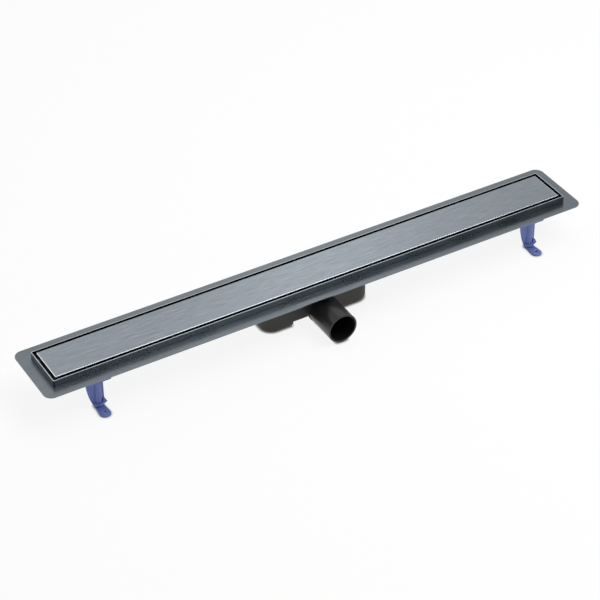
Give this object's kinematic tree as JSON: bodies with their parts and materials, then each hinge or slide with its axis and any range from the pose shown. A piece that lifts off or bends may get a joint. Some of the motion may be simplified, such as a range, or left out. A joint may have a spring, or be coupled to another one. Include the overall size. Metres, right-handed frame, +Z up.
{
  "type": "linear shower drain",
  "caption": "Long stainless shower channel with a brushed tile-level cover, bonding flange, low black trap with side outlet, and height-adjustable screw-down feet.",
  "frame": {"origin": "on the floor under the middle of the channel, at the centre of the rectangle of four floor screw holes, with the feet fully in", "axes": "+X along the channel, -Y the way the outlet pipe points, +Z up"},
  "size_m": [0.962, 0.1732, 0.0748],
  "materials": {
    "channel_steel": "mill-rolled satin",
    "trough_steel": "mill-rolled satin",
    "cover_steel": "brushed along its length",
    "bridge_steel": "mill-rolled",
    "bracket_steel": "mill-rolled",
    "strainer_steel": "fine brushed",
    "screw_steel": "plain",
    "trap_plastic": "moulded, fine texture",
    "frame_plastic": "moulded",
    "insert_plastic": "moulded, smooth",
    "rubber": "matt",
    "leg_plastic": "moulded, smooth",
    "foot_plastic": "moulded, smooth"
  },
  "bodies": {
    "channel": {"flange_frame": "channel_steel", "trough": "trough_steel", "cover_plate": "cover_steel", "trap_body": "trap_plastic", "trap_gasket": "rubber", "clamp_frame": "frame_plastic", "clamp_screws": "screw_steel", "trap_insert": "insert_plastic", "insert_seal": "rubber", "strainer": "strainer_steel", "cover_support_1": "bridge_steel", "cover_pads_1": "rubber", "leg_bracket_1": "bracket_steel", "leg_sleeve_1": "leg_plastic", "cover_support_2": "bridge_steel", "cover_pads_2": "rubber", "leg_bracket_2": "bracket_steel", "leg_sleeve_2": "leg_plastic", "cover_support_3": "bridge_steel", "cover_pads_3": "rubber", "leg_bracket_3": "bracket_steel", "leg_sleeve_3": "leg_plastic", "cover_support_4": "bridge_steel", "cover_pads_4": "rubber", "leg_bracket_4": "bracket_steel", "leg_sleeve_4": "leg_plastic"},
    "foot_1_body": {"foot_1": "foot_plastic"},
    "foot_2_body": {"foot_2": "foot_plastic"},
    "foot_3_body": {"foot_3": "foot_plastic"},
    "foot_4_body": {"foot_4": "foot_plastic"}
  },
  "joints": [
    {"name": "foot_1_height", "type": "slide", "parent": "channel", "child": "foot_1_body", "axis": [0, 0, -1], "range_m": [0, 0.025]},
    {"name": "foot_2_height", "type": "slide", "parent": "channel", "child": "foot_2_body", "axis": [0, 0, -1], "range_m": [0, 0.025]},
    {"name": "foot_3_height", "type": "slide", "parent": "channel", "child": "foot_3_body", "axis": [0, 0, -1], "range_m": [0, 0.025]},
    {"name": "foot_4_height", "type": "slide", "parent": "channel", "child": "foot_4_body", "axis": [0, 0, -1], "range_m": [0, 0.025]}
  ]
}
